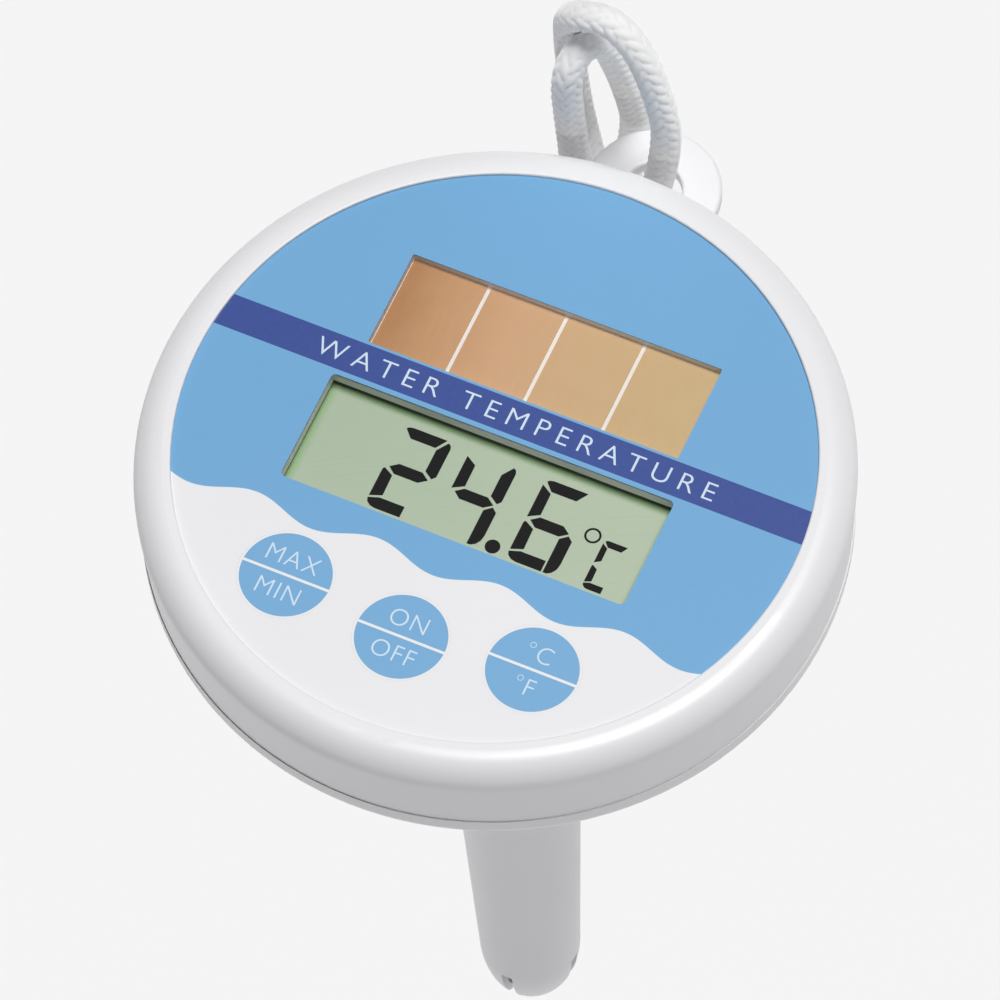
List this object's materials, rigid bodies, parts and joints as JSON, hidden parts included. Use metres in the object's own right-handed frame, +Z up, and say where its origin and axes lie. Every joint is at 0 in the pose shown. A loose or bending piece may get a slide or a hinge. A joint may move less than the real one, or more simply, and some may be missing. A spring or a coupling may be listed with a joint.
{
  "type": "floating pool thermometer",
  "caption": "Round solar-powered pool thermometer that floats upright on a tapered sensor stem, with a digital display, press keys and a braided tether.",
  "frame": {"origin": "on the stem axis at the waterline, 12 mm below the printed face", "axes": "+Z up along the stem axis as it floats, +X to the right across the face, +Y to the tether eye at twelve o'clock"},
  "size_m": [0.1182, 0.1385, 0.2264],
  "materials": {
    "shell_plastic": "moulded white ABS, fine satin",
    "stem_plastic": "moulded white ABS, fine satin",
    "seal_rubber": "black nitrile rubber",
    "zebra_rubber": "layered conductive silicone",
    "screw_steel": "stainless steel",
    "ballast_iron": "blackened iron",
    "label_print": "printed polyester film, satin",
    "key_print": "printed polyester film, satin",
    "plunger_plastic": "moulded ABS",
    "switch_plastic": "black nylon",
    "clear_window": "clear polyester",
    "lcd_glass": "display glass",
    "lcd_reflector": "grey-green reflector film",
    "holder_plastic": "moulded ABS",
    "solar_backing": "pale laminate",
    "solar_cell": "amorphous silicon under clear resin",
    "lead_insulation": "PVC-insulated wire",
    "board_laminate": "glass-epoxy laminate with green solder mask",
    "epoxy_black": "black epoxy",
    "plated_can": "nickel-plated steel",
    "capacitor_sleeve": "dark blue heat-shrink sleeve",
    "contact_spring": "nickel-plated spring steel",
    "sensor_steel": "drawn stainless steel",
    "bead_epoxy": "epoxy-dipped bead",
    "potting_resin": "cast resin",
    "braided_cord": "braided polypropylene"
  },
  "bodies": {
    "float_head": {"ballast_weight": "ballast_iron", "board_screws": "screw_steel", "buffer_capacitor": "capacitor_sleeve", "button_cell": "plated_can", "circuit_board": "board_laminate", "clock_crystal": "plated_can", "controller_blob": "epoxy_black", "front_label": "label_print", "lcd_front_glass": "lcd_glass", "lcd_holder": "holder_plastic", "lcd_rear_glass": "lcd_glass", "lcd_reflector": "lcd_reflector", "lcd_window": "clear_window", "lower_shell": "shell_plastic", "max_min_switch": "switch_plastic", "on_off_switch": "switch_plastic", "sensor_lead": "lead_insulation", "sensor_potting": "potting_resin", "sensor_sleeve": "sensor_steel", "shell_gasket": "seal_rubber", "shell_screws": "screw_steel", "side_contact": "contact_spring", "solar_cells": "solar_cell", "solar_leads": "lead_insulation", "solar_substrate": "solar_backing", "solar_window": "clear_window", "spring_contact": "contact_spring", "stem_screws": "screw_steel", "stem_seal": "seal_rubber", "stem_tube": "stem_plastic", "tether_back_leg": "braided_cord", "tether_front_leg": "braided_cord", "tether_knot": "braided_cord", "thermistor_bead": "bead_epoxy", "unit_switch": "switch_plastic", "upper_shell": "shell_plastic", "zebra_strip": "zebra_rubber"},
    "max_min_button": {"max_min_key": "key_print", "max_min_plunger": "plunger_plastic"},
    "on_off_button": {"on_off_key": "key_print", "on_off_plunger": "plunger_plastic"},
    "unit_button": {"unit_key": "key_print", "unit_plunger": "plunger_plastic"},
    "battery_cap": {"battery_cap": "shell_plastic", "cap_seal": "seal_rubber"}
  },
  "joints": [
    {"name": "max_min_press", "type": "slide", "parent": "float_head", "child": "max_min_button", "axis": [0, 0, -1], "range_m": [0, 0.0004], "stiffness_N_per_m": 2500, "springref_m": -0.0001},
    {"name": "on_off_press", "type": "slide", "parent": "float_head", "child": "on_off_button", "axis": [0, 0, -1], "range_m": [0, 0.0004], "stiffness_N_per_m": 2500, "springref_m": -0.0001},
    {"name": "unit_press", "type": "slide", "parent": "float_head", "child": "unit_button", "axis": [0, 0, -1], "range_m": [0, 0.0004], "stiffness_N_per_m": 2500, "springref_m": -0.0001},
    {"name": "battery_cap_turn", "type": "hinge", "parent": "float_head", "child": "battery_cap", "pos_m": [-0.033, 0, -0.009], "axis": [0, 0, 1], "range_deg": [0, 80]}
  ]
}
